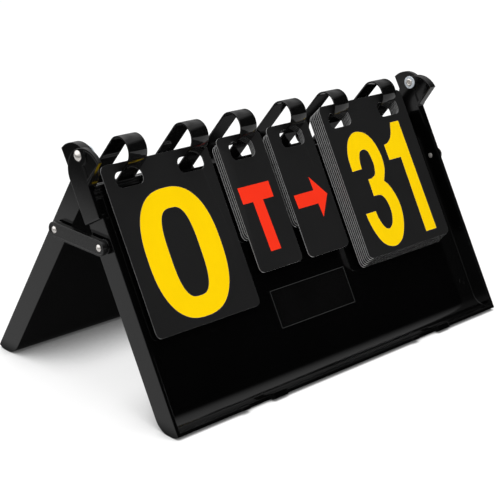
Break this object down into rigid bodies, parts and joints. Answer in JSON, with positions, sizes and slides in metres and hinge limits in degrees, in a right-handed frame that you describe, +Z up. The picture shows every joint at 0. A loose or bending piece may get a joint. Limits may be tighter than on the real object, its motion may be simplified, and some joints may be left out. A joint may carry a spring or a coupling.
{
  "type": "table flip scoreboard",
  "caption": "Folding table scoreboard: two hinged plastic trays stand as an A-frame, with flip cards on strip rings over the top and a stay link at each side.",
  "frame": {"origin": "middle of the footprint on the surface it stands on", "axes": "+Z up, X across the board, the numbers face -Y"},
  "size_m": [0.3938, 0.2196, 0.1952],
  "materials": {
    "tray_plastic": "black moulded plastic, semi-gloss",
    "stay_plastic": "black moulded plastic, satin",
    "ring_plastic": "glossy black strip",
    "card_plastic": "matt black sheet with pale cut edges",
    "plate_plastic": "bare matt label plate",
    "rivet_steel": "plated rivet",
    "zinc": "zinc-plated washer"
  },
  "bodies": {
    "rear_tray": {"rear_tray": "tray_plastic", "ring_1": "ring_plastic", "ring_2": "ring_plastic", "ring_3": "ring_plastic", "ring_4": "ring_plastic", "ring_5": "ring_plastic", "ring_6": "ring_plastic", "left_flipped_cards": "card_plastic"},
    "front_tray": {"front_tray": "tray_plastic", "label_plate": "plate_plastic", "pivot_rivet_left": "rivet_steel", "pivot_rivet_right": "rivet_steel", "pivot_washer_left": "zinc", "pivot_washer_right": "zinc", "stay_rivet_left": "rivet_steel", "stay_rivet_right": "rivet_steel"},
    "middle_cards": {"left_set_cards": "card_plastic", "right_set_cards": "card_plastic"},
    "right_cards": {"right_score_cards": "card_plastic"},
    "left_score_card": {"left_score_card": "card_plastic"},
    "timeout_card": {"timeout_card": "card_plastic"},
    "arrow_card": {"arrow_card": "card_plastic"},
    "right_score_card": {"right_score_card": "card_plastic"},
    "stay_left": {"stay_left": "stay_plastic", "stay_stud_left": "rivet_steel"},
    "stay_right": {"stay_right": "stay_plastic", "stay_stud_right": "rivet_steel"}
  },
  "joints": [
    {"name": "tray_fold", "type": "hinge", "parent": "rear_tray", "child": "front_tray", "pos_m": [0, 0, 0.18809], "axis": [-1, 0, 0], "range_deg": [0, 210]},
    {"name": "middle_cards_swing", "type": "hinge", "parent": "rear_tray", "child": "middle_cards", "pos_m": [0, 0.00708, 0.17583], "axis": [-1, 0, 0], "range_deg": [0, 210]},
    {"name": "right_cards_swing", "type": "hinge", "parent": "rear_tray", "child": "right_cards", "pos_m": [0, 0.00466, 0.17783], "axis": [-1, 0, 0], "range_deg": [0, 210]},
    {"name": "left_card_flip", "type": "hinge", "parent": "middle_cards", "child": "left_score_card", "pos_m": [0, 0.00708, 0.17583], "axis": [1, 0, 0], "range_deg": [-240, 0]},
    {"name": "timeout_card_flip", "type": "hinge", "parent": "middle_cards", "child": "timeout_card", "pos_m": [0, 0.00708, 0.17583], "axis": [1, 0, 0], "range_deg": [-240, 0]},
    {"name": "arrow_card_flip", "type": "hinge", "parent": "middle_cards", "child": "arrow_card", "pos_m": [0, 0.00708, 0.17583], "axis": [1, 0, 0], "range_deg": [-240, 0]},
    {"name": "right_card_flip", "type": "hinge", "parent": "right_cards", "child": "right_score_card", "pos_m": [0, 0.00466, 0.17783], "axis": [1, 0, 0], "range_deg": [-215, 0]},
    {"name": "stay_left_swing", "type": "hinge", "parent": "front_tray", "child": "stay_left", "pos_m": [-0.194, -0.02617, 0.12519], "axis": [1, 0, 0], "range_deg": [-120.3, 0]},
    {"name": "stay_right_swing", "type": "hinge", "parent": "front_tray", "child": "stay_right", "pos_m": [0.194, -0.02617, 0.12519], "axis": [1, 0, 0], "range_deg": [-120.3, 0]}
  ],
  "couplings": [
    {"joint": "middle_cards_swing", "follows": "tray_fold", "ratio": 1},
    {"joint": "right_cards_swing", "follows": "tray_fold", "ratio": 1}
  ]
}
